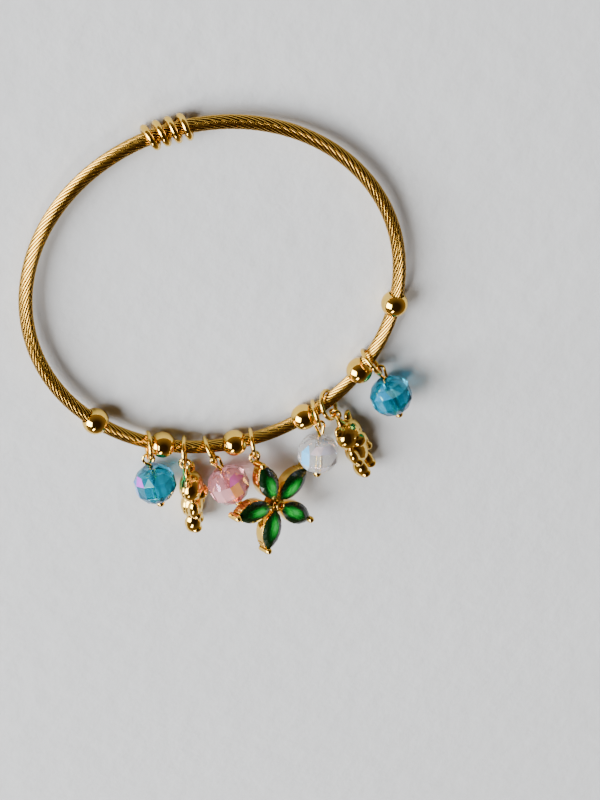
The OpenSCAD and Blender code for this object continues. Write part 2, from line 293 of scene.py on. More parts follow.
class DropSizes(bpy.types.PropertyGroup):
    ring: length("Jump ring", 6.2, "Outside diameter of a jump ring")
    ring_wire: length("Ring wire", 0.8, "Diameter of a jump ring's wire")
    crystal: length("Crystal", 8, "Nominal diameter of a crystal, a little over its width")
    crystal_height: length("Crystal height", 7.4, "Height of a crystal along its bore")
    sides: IntProperty(
        name="Facets", description="Facets in one row round a crystal", default=12, min=6
    )
    bore: length("Bore", 1.1, "Diameter of the bore through a crystal")
    pin: length("Pin wire", 0.56, "Diameter of a head pin's wire")
    pin_ball: length("Pin ball", 1.6, "Diameter of the ball at a head pin's end")
    bear_grain: length("Bear grain", 0.13, "Size of the mesh on a cast bear")


class FlowerSizes(bpy.types.PropertyGroup):
    stone: length("Stone length", 8, "Length of a petal stone")
    stone_width: length("Stone width", 4.3, "Width of a petal stone")
    reach: length("Petal reach", 5.2, "From the flower's middle to a stone's middle")
    depth: length("Setting depth", 2.2, "Depth of the setting from its back to its walls' tops")
    wall: length("Wall", 0.32, "Thickness of a petal's wall")
    tilt: FloatProperty(
        name="Tilt", description="Tilt of the flower on the surface", default=math.radians(29),
        subtype="ANGLE", unit="ROTATION",
    )


class Finishes(bpy.types.PropertyGroup):
    gold: tint("Gold", (0.84, 0.55, 0.1), "Plated gold of the polished parts")
    gold_deep: tint("Deep gold", (0.5, 0.24, 0.03), "Gold where strands and hollows are shaded")
    blue: tint("Blue crystal", (0.001, 0.28, 0.42), "Glass of the blue crystals")
    rose: tint("Rose crystal", (0.9, 0.4, 0.45), "Glass of the rose crystal")
    clear: tint("Clear crystal", (0.95, 0.96, 0.99), "Glass of the clear crystal")
    green: tint("Green stone", (0.005, 0.5, 0.045), "Glass of the petal stones")
    floor: tint("Floor", (0.58, 0.59, 0.6), "Paint of the pale surface")


# --- places ---


def hoop_radius():
    """Radius of the hoop's centre line."""
    s = bpy.context.scene.bangle_sizes
    return (s.inner + s.cable) / 2 / MM


def hoop_height():
    """Height of the hoop's centre line, which the balls hold off the surface."""
    return bpy.context.scene.bangle_sizes.ball / 2 / MM


def heading(angle):
    """The level direction at that angle from +X."""
    a = math.radians(angle)
    return Vector((math.cos(a), math.sin(a), 0))


def on_hoop(angle):
    """A point of the hoop's centre line."""
    return heading(angle) * hoop_radius() + Vector((0, 0, hoop_height()))


def turn(axis, degrees):
    return Matrix.Rotation(math.radians(degrees), 4, axis)


def ring_radius():
    """Radius of a jump ring's centre line."""
    d = bpy.context.scene.drop_sizes
    return (d.ring - d.ring_wire) / 2 / MM


def ring_up(n):
    """The way a jump ring stands, which its lean turns away from upright."""
    lean = math.radians(RINGS[n][2])
    return Vector((0, 0, math.cos(lean))) + heading(RINGS[n][1] - 90) * math.sin(lean)


def ring_middle(n):
    place, points, _, out, up = RINGS[n]
    return on_hoop(place) + heading(points) * out + ring_up(n) * up


def ring_end(n, height, slack):
    """The point of a jump ring's outer side at that height, moved outwards by slack."""
    lean = math.radians(RINGS[n][2])
    climb = math.asin((height - ring_middle(n).z) / (ring_radius() * math.cos(lean)))
    out = heading(RINGS[n][1]) * (ring_radius() + slack) * math.cos(climb)
    return ring_middle(n) + out + ring_up(n) * ring_radius() * math.sin(climb)


def crystal_place(n):
    """A crystal's place: its middle is the middle of its solid's box."""
    name, points, pitch, spin, _ = CRYSTALS[n]
    low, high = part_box("crystal_" + name)
    middle = Matrix.Translation((low + high) / 2 / MM)
    return middle @ turn("Z", points) @ turn("Y", -pitch) @ turn("X", spin)


def bear_place(n):
    """A bear's place: it hangs in its jump ring, and its lowest form is just off the surface."""
    _, ring, points, pitch, roll = BEARS[n]
    turned = turn("Z", points) @ turn("Y", -pitch) @ turn("X", -roll)
    down = turned.to_3x3().row[2]

    def lowest_of(form):
        half = Vector((down.x * form[3], down.y * form[4], down.z * form[5])).length / 2
        return down.dot(Vector(form[:3])) - half

    lowest = min(lowest_of(form) for form in BEAR_FORMS)
    eye = ring_end(ring, FLOOR_GAP - lowest, BEAR_EYE_SLACK)
    return Matrix.Translation(eye) @ turned


def prong_at():
    """Distance from the flower's middle to a prong's middle."""
    s = bpy.context.scene.flower_sizes
    return (s.reach + s.stone / 2) / MM + PRONG_STEP


def flower_loop_at():
    out = prong_at() + PRONG_RADIUS + FLOWER_LOOP_MIDDLE - FLOWER_LOOP_SUNK
    return Vector((out, 0, FLOWER_LOOP_HEIGHT))


def flower_place():
    """The flower's place: its loop is in its jump ring, and its lowest prong near the surface."""
    s = bpy.context.scene.flower_sizes
    turned = (
        turn("Z", FLOWER_LOW_SIDE) @ Matrix.Rotation(s.tilt, 4, "Y")
        @ turn("Z", FLOWER_HEADING + 180 - FLOWER_LOW_SIDE)
    )
    tip = Vector((prong_at() + PRONG_RADIUS, 0, 0))
    z = FLOOR_GAP - min((turned @ turn("Z", PETAL_STEP * i) @ tip).z for i in range(PETALS))
    arm = turned @ flower_loop_at()
    out = ring_end(FLOWER_RING, z + arm.z, FLOWER_SLACK) - arm
    return Matrix.Translation((out.x, out.y, z)) @ turned


def petal_place(i):
    s = bpy.context.scene.flower_sizes
    return turn("Z", PETAL_STEP * i) @ Matrix.Translation((s.reach / MM, 0, 0))


# --- shapes ---


def faced_out(bm):
    """Turns the faces of one closed shape outwards."""
    bm.normal_update()
    bmesh.ops.recalc_face_normals(bm, faces=bm.faces)
    if bm.calc_volume(signed=True) < 0:
        bmesh.ops.reverse_faces(bm, faces=bm.faces)
    bm.normal_update()


def wire(path, sides=12, closed_ends=True, up=(0, 0, 1)):
    """A tube through path, a list of (point, radius), with flat ends or closed on itself."""
    bm = bmesh.new()
    bmesh.ops.create_circle(bm, segments=sides, radius=1)
    bmesh.ops.spin(
        bm, geom=bm.verts[:] + bm.edges[:], axis=(0, 0, 1), dvec=(0, 0, 1), angle=0,
        steps=len(path) - 1, use_merge=False,
    )
    if closed_ends:
        bmesh.ops.holes_fill(bm, edges=[e for e in bm.edges if e.is_boundary], sides=sides)
    frames = []
    across = Vector(up)
    last = len(path) - 1
    for i, (point, radius) in enumerate(path):
        after, before = min(i + 1, last), max(i - 1, 0)
        if not closed_ends:
            after, before = i % last + 1, (i - 1) % last
        run = (Vector(path[after][0]) - Vector(path[before][0])).normalized()
        across = (across - run * across.dot(run)).normalized()
        frames.append((Vector(point), across * radius, run.cross(across) * radius))
    for v in bm.verts:
        point, one, two = frames[round(v.co.z)]
        v.co = point + one * v.co.x + two * v.co.y
    faced_out(bm)
    return bm


def round_ends(path, steps=4):
    """The same path with a rounded tip added at both ends."""
    def tip(point, beside, radius):
        way = (Vector(point) - Vector(beside)).normalized()
        angles = [math.radians(88 * (i + 1) / steps) for i in range(steps)]
        return [
            (Vector(point) + way * radius * math.sin(a), radius * math.cos(a)) for a in angles
        ]

    first = tip(path[0][0], path[1][0], path[0][1])
    last = tip(path[-1][0], path[-2][0], path[-1][1])
    return first[::-1] + list(path) + last


def eased(points, steps=6):
    """Points on a smooth curve through the given ones."""
    points = [Vector(p) for p in points]
    ends = [2 * points[0] - points[1]] + points + [2 * points[-1] - points[-2]]
    curve = []
    for a, b, c, d in zip(ends, ends[1:], ends[2:], ends[3:]):
        for i in range(steps):
            t = i / steps
            square = (2 * a - 5 * b + 4 * c - d) * t**2
            cube = (3 * b - a - 3 * c + d) * t**3
            curve.append(((2 * b) + (c - a) * t + square + cube) / 2)
    return curve + [points[-1]]


def spun(profile, steps=64):
    """A closed profile of (x, radius) points, spun round the X axis."""
    bm = bmesh.new()
    verts = [bm.verts.new((x, r, 0)) for x, r in profile]
    edges = [bm.edges.new((a, b)) for a, b in zip(verts, verts[1:] + verts[:1])]
    bmesh.ops.spin(
        bm, geom=verts + edges, axis=(1, 0, 0), angle=math.tau, steps=steps, use_merge=True
    )
    faced_out(bm)
    return bm


def rounded(bm, edges, size, segments=2):
    bmesh.ops.bevel(
        bm, geom=list(edges), offset=size, offset_type="OFFSET", affect="EDGES",
        segments=segments, profile=0.5, material=-1,
    )


def smoothed(bm, factor):
    bmesh.ops.smooth_vert(
        bm, verts=bm.verts, factor=factor, use_axis_x=True, use_axis_y=True, use_axis_z=True
    )


def joined(bm, *others):
    """Adds closed shapes to bm and frees them."""
    for other in others:
        spare = bpy.data.meshes.new("spare")
        other.to_mesh(spare)
        other.free()
        bm.from_mesh(spare)
        bpy.data.meshes.remove(spare)
    return bm


def one_skin(bm, grain, rounds):
    """One skin over overlapping shapes, as a cast piece has, with its seams eased."""
    mesh = bpy.data.meshes.new("cast")
    bm.to_mesh(mesh)
    bm.free()
    cast = bpy.data.objects.new("cast", mesh)
    bpy.context.scene.collection.objects.link(cast)
    skin = cast.modifiers.new("skin", "REMESH")
    skin.mode = "VOXEL"
    skin.voxel_size = grain
    skinned = cast.evaluated_get(bpy.context.evaluated_depsgraph_get()).to_mesh()
    bm = bmesh.new()
    bm.from_mesh(skinned)
    bpy.data.objects.remove(cast)
    bpy.data.meshes.remove(mesh)
    for _ in range(rounds):
        smoothed(bm, 0.5)
    return bm


def blob(bm, middle, size, detail=3):
    """A rounded form of that length, width and depth."""
    place = Matrix.Translation(middle) @ Matrix.Diagonal((*size, 1))
    bmesh.ops.create_icosphere(bm, subdivisions=detail, radius=0.5, matrix=place)


def piece(name, bm, place, material, node, sharp=40):
    """Puts a shape in place as a piece that stands for its CAD node."""
    bmesh.ops.transform(bm, matrix=Matrix.Scale(MM, 4) @ place, verts=bm.verts)
    mesh = bpy.data.meshes.new(name)
    bm.to_mesh(mesh)
    bm.free()
    mesh.materials.append(material)
    mesh.shade_smooth()
    mesh.set_sharp_from_angle(angle=math.radians(sharp))
    made = bpy.data.objects.new(name, mesh)
    bpy.context.scene.collection.objects.link(made)
    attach(made, "root")
    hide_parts(node)


# --- finishes ---


class Shader:
    """A new material with its Principled shader and short ways to add nodes."""

    def __init__(self, name):
        self.material = bpy.data.materials.new(name)
        self.material.use_nodes = True
        self.nodes = self.material.node_tree.nodes
        self.main = self.nodes["Principled BSDF"]
        self.place = self.nodes.new("ShaderNodeTexCoord").outputs["Object"]

    def link(self, out, into):
        self.material.node_tree.links.new(out, into)

    def set(self, values):
        for name, value in values.items():
            self.main.inputs[name].default_value = value

    def feed(self, name, out):
        self.link(out, self.main.inputs[name])

    def grain(self, scale, detail=2.0, stretch=None, where=None):
        """Noise with that many features to a metre, or to one step of another vector."""
        texture = self.nodes.new("ShaderNodeTexNoise")
        texture.inputs["Scale"].default_value = scale
        texture.inputs["Detail"].default_value = detail
        where = self.place if where is None else where
        if stretch:
            mapping = self.nodes.new("ShaderNodeMapping")
            mapping.inputs["Scale"].default_value = stretch
            self.link(where, mapping.inputs["Vector"])
            where = mapping.outputs["Vector"]
        self.link(where, texture.inputs["Vector"])
        return texture.outputs["Fac"]

    def attribute(self, name):
        """The outputs of one attribute of the mesh."""
        node = self.nodes.new("ShaderNodeAttribute")
        node.attribute_name = name
        return node.outputs

    def ramp(self, value, *stops):
        node = self.nodes.new("ShaderNodeValToRGB")
        marks = node.color_ramp.elements
        while len(marks) < len(stops):
            marks.new(0.5)
        for mark, (at, colour) in zip(marks, stops):
            mark.position = at
            mark.color = (*colour, 1)
        self.link(value, node.inputs["Fac"])
        return node.outputs["Color"]

    def range(self, value, low, high, start=0.0, end=1.0):
        node = self.nodes.new("ShaderNodeMapRange")
        node.inputs["From Min"].default_value = start
        node.inputs["From Max"].default_value = end
        node.inputs["To Min"].default_value = low
        node.inputs["To Max"].default_value = high
        self.link(value, node.inputs["Value"])
        return node.outputs["Result"]

    def bump(self, height, distance, strength=1.0):
        node = self.nodes.new("ShaderNodeBump")
        node.inputs["Distance"].default_value = distance
        node.inputs["Strength"].default_value = strength
        self.link(height, node.inputs["Height"])
        self.feed("Normal", node.outputs["Normal"])


def shade(colour, share):
    return tuple(c * share for c in colour)


def between(one, two, share):
    return tuple(a + (b - a) * share for a, b in zip(one, two))


def plated_gold(name, smoothest, roughest, ripple, ripple_scale):
    """Polished plating with faint clouding, hairline scratches and a soft ripple."""
    f = bpy.context.scene.bangle_finishes
    s = Shader(name)
    s.set({"Metallic": 1.0})
    pale = between(f.gold, (1, 0.86, 0.5), 0.12)
    warm = between(f.gold, f.gold_deep, 0.22)
    s.feed("Base Color", s.ramp(s.grain(260, 3), (0.3, warm), (0.55, f.gold), (0.8, pale)))
    scratch = s.grain(2600, 4, stretch=(1.0, 7.0, 1.0))
    s.feed("Roughness", s.range(scratch, smoothest, roughest, 0.35, 0.7))
    s.bump(s.grain(ripple_scale, 2), ripple)
    return s.material


def cable_plating():
    """Drawn strands: bright on their crests and brown in the valleys between them, where the brown is
    painted shade.
    """
    f = bpy.context.scene.bangle_finishes
    s = Shader("cable_plating")
    s.set({"Metallic": 1.0})
    # Painted shade: the colour darkens from the strands' crests to near black in the valleys between
    # them
    s.feed("Base Color", s.ramp(
        s.attribute("valley")["Fac"],
        (0.0, shade(f.gold, 0.86)),
        (0.4, between(f.gold, f.gold_deep, 0.6)),
        (0.75, shade(f.gold_deep, 0.4)),
        (1.0, shade(f.gold_deep, 0.1)),
    ))
    s.feed("Roughness", s.range(s.grain(1800, 3), 0.12, 0.22, 0.3, 0.7))
    s.bump(s.grain(2400, 2), 0.000001)
    return s.material


def crystal_glass(name, colour, film):
    """Cut glass under a thin film, with painted reflections of its coating on chosen facets, which show
    the painted colour.
    """
    s = Shader(name)
    s.set({"IOR": 1.5, "Thin Film Thickness": film, "Thin Film IOR": 1.6})
    # Painted reflections: on a patch, its colour takes the place of the glass's tint and less light goes
    # through
    coat_reflection = s.attribute("coat_reflection")
    mix = s.nodes.new("ShaderNodeMix")
    mix.data_type = "RGBA"
    mix.inputs["A"].default_value = (*colour, 1)
    s.link(coat_reflection["Color"], mix.inputs["B"])
    s.link(coat_reflection["Alpha"], mix.inputs["Factor"])
    s.feed("Base Color", mix.outputs["Result"])
    s.feed("Transmission Weight", s.range(coat_reflection["Alpha"], 0.86, 0.25))
    s.feed("Roughness", s.range(s.grain(1500, 3), 0.03, 0.1, 0.35, 0.75))
    return s.material


def petal_glass():
    """Foil-backed green glass under a clear top, with painted light: a streaked glow painted bright
    green, and its rim painted near black as shade.
    """
    f = bpy.context.scene.bangle_finishes
    s = Shader("petal_glass")
    s.set({
        "Coat Weight": 0.4, "Coat Roughness": 0.02, "Coat IOR": 1.45, "Specular IOR Level": 0.25,
    })
    inside = s.attribute("inside")["Vector"]
    # The painted glow's middle is moved a little off the stone's middle, and noise stretches it into
    # streaks
    spot = s.nodes.new("ShaderNodeMapping")
    spot.inputs["Location"].default_value = (0.2, 0, 0)
    spot.inputs["Scale"].default_value = (0.95, 1.15, 0)
    s.link(inside, spot.inputs["Vector"])
    away = s.nodes.new("ShaderNodeVectorMath")
    away.operation = "LENGTH"
    s.link(spot.outputs["Vector"], away.inputs[0])
    streak = s.nodes.new("ShaderNodeMath")
    streak.operation = "MULTIPLY_ADD"
    streak.inputs[1].default_value = 0.6
    s.link(s.grain(2.5, 3, (1, 5, 1), inside), streak.inputs[0])
    s.link(away.outputs["Value"], streak.inputs[2])
    # Painted light and shade: bright green in the glow, darkening to near black at the rim
    s.feed("Base Color", s.ramp(
        streak.outputs["Value"],
        (0.4, between(f.green, (0.1, 0.85, 0.2), 0.5)),
        (0.62, shade(f.green, 0.8)),
        (0.84, shade(f.green, 0.16)),
        (1.0, shade(f.green, 0.02)),
    ))
    s.feed("Roughness", s.range(s.grain(1500, 2), 0.2, 0.35))
    return s.material


def floor_paint():
    """Pale matt paint over a faintly uneven surface."""
    f = bpy.context.scene.bangle_finishes
    s = Shader("floor_paint")
    s.set({"Roughness": 0.85})
    s.feed("Base Color", s.ramp(s.grain(26, 4), (0.3, shade(f.floor, 0.97)), (0.7, f.floor)))
    s.bump(s.grain(180, 4), 0.0004, 0.6)
    return s.material


def finish(name):
    """A finish by name, made once."""
    made = bpy.data.materials.get(name)
    if made:
        return made
    if name in PLATINGS:
        return plated_gold(name, *PLATINGS[name])
    if name in FILMS:
        colour = getattr(bpy.context.scene.bangle_finishes, name.split("_")[0])
        return crystal_glass(name, colour, FILMS[name])
    others = {
        "cable_plating": cable_plating, "petal_glass": petal_glass, "floor_paint": floor_paint,
    }
    return others[name]()


# --- pieces ---


class MakeCable(bpy.types.Operator):
    """Lay up the twisted strands of the cable round the hoop"""

    bl_idname = "bangle.cable"
    bl_label = "Twisted Cable"

    def execute(self, context):
        s = context.scene.bangle_sizes
        outer = s.cable / 2 / MM
        share = math.sin(math.pi / s.strands)
        strand = outer * share / (1 + share)
        bm = bmesh.new()
        bmesh.ops.create_circle(bm, segments=s.strands * STRAND_POINTS, radius=1)
        bmesh.ops.spin(
            bm, geom=bm.verts[:] + bm.edges[:], axis=(0, 0, 1), dvec=(0, 0, 1), angle=0,
            steps=CABLE_RINGS, use_merge=False,
        )
        # Each point's share of the way from its strand's crest to the valley beside it, which the
        # plating turns into painted shade
        depth = bm.verts.layers.float.new("valley")
        for v in bm.verts:
            lobe = math.atan2(v.co.y, v.co.x) / math.tau * s.strands
            # A point midway between two strands goes to the same one all round, so the ends meet
            number = math.floor(lobe + 0.501)
            off = lobe - number
            lay = round(v.co.z) / CABLE_RINGS
            middle = number * math.tau / s.strands - s.turns * math.tau * lay
            side = middle + math.radians(off * STRAND_ARC)
            x = (outer - strand) * math.cos(middle) + strand * math.cos(side)
            z = (outer - strand) * math.sin(middle) + strand * math.sin(side)
            v[depth] = abs(off) * 2
            v.co = heading(360 * lay) * (hoop_radius() + x) + Vector((0, 0, hoop_height() + z))
        bmesh.ops.remove_doubles(bm, verts=bm.verts, dist=1e-4)
        faced_out(bm)
        piece("twisted_cable", bm, Matrix(), finish("cable_plating"), "cable", 80)
        return {"FINISHED"}


class MakeWrap(bpy.types.Operator):
    """Wind the wire wrap round the cable"""

    bl_idname = "bangle.wrap"
    bl_label = "Wire Wrap"

    def execute(self, context):
        s = context.scene.bangle_sizes
        reach = (s.cable + s.wrap_wire) / 2 / MM + WRAP_GAP
        climb = math.degrees(s.wrap_pitch / MM / hoop_radius())
        path = []
        for i in range(s.wrap_turns * WRAP_STEPS + 1):
            along = WRAP_START + climb * i / WRAP_STEPS
            about = math.radians(-90 - 360 * i / WRAP_STEPS)
            out = heading(along) * math.cos(about) + Vector((0, 0, math.sin(about)))
            path.append((on_hoop(along) + out * reach, s.wrap_wire / 2 / MM))
        bm = wire(round_ends(path[WRAP_TRIM:-WRAP_TRIM]), 16)
        piece("wrapped_wire", bm, Matrix(), finish("wire_plating"), "wire_wrap")
        return {"FINISHED"}


class MakeBalls(bpy.types.Operator):
    """Turn the six stopper balls, each with its bore and eased mouths"""

    bl_idname = "bangle.balls"
    bl_label = "Stopper Balls"

    def execute(self, context):
        s = context.scene.bangle_sizes
        radius = s.ball / 2 / MM
        # The bore is straight and the cable bends, by this much on each side of its middle
        bow = radius**2 / (4 * hoop_radius())
        bore = (s.cable / 2 + s.bore_gap) / MM + bow
        edge = math.asin(bore / radius)
        arc = [edge + (math.pi - 2 * edge) * i / BALL_ROWS for i in range(BALL_ROWS + 1)]
        for i, angle in enumerate(BALL_ANGLES, 1):
            bm = spun([(radius * math.cos(a), radius * math.sin(a)) for a in arc], BALL_SIDES)
            mouths = [e for e in bm.edges if e.calc_face_angle(0) > 0.8]
            rounded(bm, mouths, BALL_MOUTH_EASE, 3)
            at = Matrix.Translation((hoop_radius() - bow, 0, hoop_height()))
            place = turn("Z", angle) @ at @ turn("Z", 90)
            piece(f"ball_{i}", bm, place, finish("polished_plating"), f"stopper_ball_{i}",
                  50)
        return {"FINISHED"}


class MakeRings(bpy.types.Operator):
    """Bend the seven jump rings, each with the fine cut where it was closed"""

    bl_idname = "bangle.rings"
    bl_label = "Jump Rings"

    def execute(self, context):
        radius, wire_r = ring_radius(), context.scene.drop_sizes.ring_wire / 2 / MM
        first, sweep = RING_CUT + RING_CUT_HALF, 360 - 2 * RING_CUT_HALF
        angles = [math.radians(first + sweep * i / RING_STEPS) for i in range(RING_STEPS + 1)]
        path = [((radius * math.cos(a), radius * math.sin(a), 0), wire_r) for a in angles]
        for n, (_, points, lean, _, _) in enumerate(RINGS):
            bm = wire(path, 16)
            rounded(bm, [e for e in bm.edges if e.calc_face_angle(0) > 1], RING_CUT_EASE)
            place = Matrix.Translation(ring_middle(n)) @ turn("Z", points) @ turn("X", 90 + lean)
            piece(f"ring_{n + 1}", bm, place, finish("wire_plating"), f"jump_ring_{n + 1}")
        return {"FINISHED"}


def paint_coat_reflections(bm, name):
    """Paints the colour of its coating's reflections on chosen facets of a crystal, and leaves its bore
    bare.
    """
    bore = bpy.context.scene.drop_sizes.bore / MM
    coat_reflection = bm.faces.layers.float_color.new("coat_reflection")
    for face in bm.faces:
        face[coat_reflection] = (0, 0, 0, 0)
        middle = face.calc_center_median()
        if Vector((0, middle.y, middle.z)).length < bore or face.calc_area() < 0.1:
            continue
        for angle, height, reach, colour, weight in COAT_REFLECTIONS[name]:
            a = math.radians(angle)
            spot = Vector((height, math.cos(a), math.sin(a))).normalized()
            if middle.normalized().angle(spot) < math.radians(reach):
                face[coat_reflection] = (*colour, weight)


def cut_crystal():
    """A faceted crystal with its bore along X."""
    d = bpy.context.scene.drop_sizes
    bm = bmesh.new()
    for height, share, half in CRYSTAL_ROWS:
        place = Matrix.Translation((height * d.crystal_height / 2 / MM, 0, 0)) @ turn("Y", 90)
        step = 180 * half / d.sides
        bmesh.ops.create_circle(
            bm, segments=d.sides, radius=share * d.crystal / 2 / MM,
            matrix=place @ turn("Z", step),
        )
    bmesh.ops.convex_hull(bm, input=bm.verts[:])
    bmesh.ops.dissolve_limit(bm, angle_limit=math.radians(1), verts=bm.verts, edges=bm.edges)
    faced_out(bm)
    rounded(bm, bm.edges[:], CRYSTAL_EDGE, 1)
    ends = sorted(bm.faces, key=lambda face: abs(face.calc_center_median().x))[-2:]
    loops = []
    for end in ends:
        x = end.calc_center_median().x
        bmesh.ops.inset_individual(bm, faces=[end], thickness=0.3)
        for v in end.verts:
            out = Vector((0, v.co.y, v.co.z)).normalized() * d.bore / 2 / MM
            v.co = Vector((x, out.y, out.z))
        loops += end.edges[:]
    bmesh.ops.delete(bm, geom=ends, context="FACES_ONLY")
    bmesh.ops.bridge_loops(bm, edges=loops)
    faced_out(bm)
    return bm


class MakeCrystals(bpy.types.Operator):
    """Cut the four glass crystals"""

    bl_idname = "bangle.crystals"
    bl_label = "Crystals"

    def execute(self, context):
        for n, (name, *_) in enumerate(CRYSTALS):
            colour = name.split("_")[0]
            bm = cut_crystal()
            paint_coat_reflections(bm, name)
            piece(f"cut_crystal_{name}", bm, crystal_place(n), finish(colour + "_glass"),
                  "crystal_" + name, 12)
        return {"FINISHED"}


def pin_path(kind):
    """A head pin's wire: round its loop, through the crystal and out to its ball."""
    d = bpy.context.scene.drop_sizes
    r, thick = LOOP_RADIUS[kind], d.pin / 2 / MM
    neck = -d.crystal_height / 2 / MM - PIN_NECK
    first, last = LOOP_ARC[kind]
    arc = [math.radians(first + (last - first) * i / 12) for i in range(13)]
    loop = [(-LOOP_AT[kind] + r * math.cos(a), r * math.sin(a), 0) for a in arc]
    # A long loop comes back to lie beside its neck
    start = [(neck, 2 * thick + 0.05, 0)] if kind == 1 else []
    bent = eased(start + loop + [(neck, 0, 0), (neck + 0.5, 0, 0)], 4)
    path = [(point, thick) for point in bent]
    ball = d.pin_ball / 2 / MM
    ball_at = d.crystal_height / 2 / MM + ball - PIN_BALL_SUNK
    begin = math.asin(thick / ball)
    swell = [math.pi - begin - (math.pi - begin - 0.02) * i / 16 for i in range(17)]
    shank = [((x, 0, 0), thick) for x in (-2, 0, 2)]
    head = [((ball_at + ball * math.cos(a), 0, 0), ball * math.sin(a)) for a in swell]
    return path + shank + head


class MakePins(bpy.types.Operator):
    """Bend the head pins that carry the crystals"""

    bl_idname = "bangle.pins"
    bl_label = "Head Pins"

    def execute(self, context):
        for n, (name, _, _, spin, kind) in enumerate(CRYSTALS):
            bm = wire(pin_path(kind), 20)
            piece(f"pin_{name}", bm, crystal_place(n) @ turn("X", -spin), finish("wire_plating"),
                  "head_pin_" + name)
        return {"FINISHED"}


def press(bm, middle, radius, depth):
    """Presses a shallow round dish into the skin."""
    middle = Vector(middle)
    for v in bm.verts:
        away = (v.co - middle).length
        if away < radius:
            v.co -= v.normal * depth * (1 - (away / radius) ** 2) ** 1.5


def groove(bm, height, width, depth):
    """Sinks a line round the skin at that height, as the edge of a cast half leaves."""
    for v in bm.verts:
        away = (v.co.z - height) / width
        if abs(away) < 3 and v.co.x > BEAR_GROOVE_START:
            v.co -= v.normal * depth * math.exp(-away * away)


def cast_bear():
    """One bear in its own frame, from its wire eye over its head and body to its feet."""
    bm = bmesh.new()
    for form in BEAR_FORMS + BEAR_DETAILS:
        blob(bm, form[:3], form[3:])
    r = BEAR_EYE_RADIUS
    around = [math.radians(15 * i) for i in range(25)]
    ring = [((r * math.cos(a), 0, r * math.sin(a)), BEAR_EYE_WIRE / 2) for a in around]
    joined(bm, wire(ring, 16, up=(0, 1, 0)), wire(BEAR_STEM, 16))
    bm = one_skin(bm, bpy.context.scene.drop_sizes.bear_grain / MM, 3)
    bm.normal_update()
    for side in (1, -1):
        for (x, y, z), radius, depth in BEAR_DISHES:
            press(bm, (x, y * side, z), radius, depth)
    for row in BEAR_GROOVES:
        groove(bm, *row)
    smoothed(bm, 0.4)
    (x, y, z), size = BEAR_KNOB
    for side in (1, -1):
        blob(bm, (x, y * side, z), size)
    bm.normal_update()
    return bm


class MakeBears(bpy.types.Operator):
    """Cast the two bear charms"""

    bl_idname = "bangle.bears"
    bl_label = "Bear Charms"

    def execute(self, context):
        for n, (name, *_) in enumerate(BEARS):
            piece("bear_" + name, cast_bear(), bear_place(n), finish("cast_plating"),
                  "bear_charm_" + name, 70)
        return {"FINISHED"}


def petal_arc():
    """Half the length and half the width of a petal, and the radius of the arcs of its outline."""
    s = bpy.context.scene.flower_sizes
    half_l, half_w = s.stone / 2 / MM, s.stone_width / 2 / MM
    return half_l, half_w, (half_l**2 + half_w**2) / (2 * half_w)


def marquise(bm, count, height=0.0, share=(1, 1), shift=0.0, filled=True):
    """Adds an outline of two equal arcs at that height."""
    _, half_w, r = petal_arc()
    made = bmesh.ops.create_circle(bm, cap_ends=filled, segments=count, radius=1)["verts"]
    drop = r - half_w
    limit = math.acos(drop / r)
    for k, v in enumerate(made):
        part = (k + shift) % count / count * 2
        side = 1 if part < 1 else -1
        a = limit * (1 - 2 * (part % 1)) * side
        x, y = r * math.sin(a), side * (r * math.cos(a) - drop)
        v.co = Vector((x * share[0], y * share[1], height))


def marquise_edge(place):
    """A point of a petal's outline, 1 at its point and 0 at its middle."""
    half_l, half_w, r = petal_arc()
    x = place * half_l
    return Vector((x, math.sqrt(r**2 - x**2) - (r - half_w), 0))


def set_stone(number):
    """A petal stone, its crown over its pavilion, with places inside it for its painted glow and rim
    shade.
    """
    halves = []
    for rows in STONE_ROWS:
        bm = bmesh.new()
        for height, along, across, shift in rows:
            marquise(bm, STONE_SIDES, height, (along, across), shift, filled=False)
        bmesh.ops.convex_hull(bm, input=bm.verts[:])
        bmesh.ops.delete(bm, geom=[v for v in bm.verts if not v.link_faces], context="VERTS")
        bmesh.ops.delete(bm, geom=[e for e in bm.edges if e.is_wire], context="EDGES")
        bmesh.ops.dissolve_limit(bm, angle_limit=math.radians(1), verts=bm.verts, edges=bm.edges)
        faced_out(bm)
        halves.append(bm)
    bm = joined(*halves)
    inside = bm.verts.layers.float_vector.new("inside")
    half_l, half_w, _ = petal_arc()
    for v in bm.verts:
        v[inside] = (v.co.x / half_l, v.co.y / half_w, number)
    return bm


class MakeStones(bpy.types.Operator):
    """Cut the five green petal stones"""

    bl_idname = "bangle.stones"
    bl_label = "Petal Stones"

    def execute(self, context):
        rise = Matrix.Translation((0, 0, context.scene.flower_sizes.depth / MM + STONE_GAP))
        for i in range(PETALS):
            place = flower_place() @ petal_place(i) @ rise
            piece(f"stone_{i + 1}", set_stone(i), place, finish("petal_glass"),
                  f"petal_stone_{i + 1}", 5)
        return {"FINISHED"}


def verts_of(geom):
    return [g for g in geom if isinstance(g, bmesh.types.BMVert)]


def petal_cup():
    """The wall and the plate under one stone, with eased edges."""
    s = bpy.context.scene.flower_sizes
    depth, wall = s.depth / MM, s.wall / MM
    bm = bmesh.new()
    marquise(bm, 64)
    raised = bmesh.ops.extrude_face_region(bm, geom=bm.faces[:], use_keep_orig=True)["geom"]
    bmesh.ops.translate(bm, vec=(0, 0, depth), verts=verts_of(raised))
    top = [g for g in raised if isinstance(g, bmesh.types.BMFace)]
    bmesh.ops.inset_region(bm, faces=top, thickness=wall, use_even_offset=True)
    sunk = bmesh.ops.extrude_face_region(bm, geom=top)["geom"]
    bmesh.ops.delete(bm, geom=top, context="FACES_ONLY")
    bmesh.ops.translate(bm, vec=(0, 0, PLATE - depth), verts=verts_of(sunk))
    faced_out(bm)
    level = [e for e in bm.edges if abs(e.verts[0].co.z - e.verts[1].co.z) < 1e-6]
    rounded(bm, [e for e in level if e.calc_face_angle(0) > 1], 0.05)
    return bm


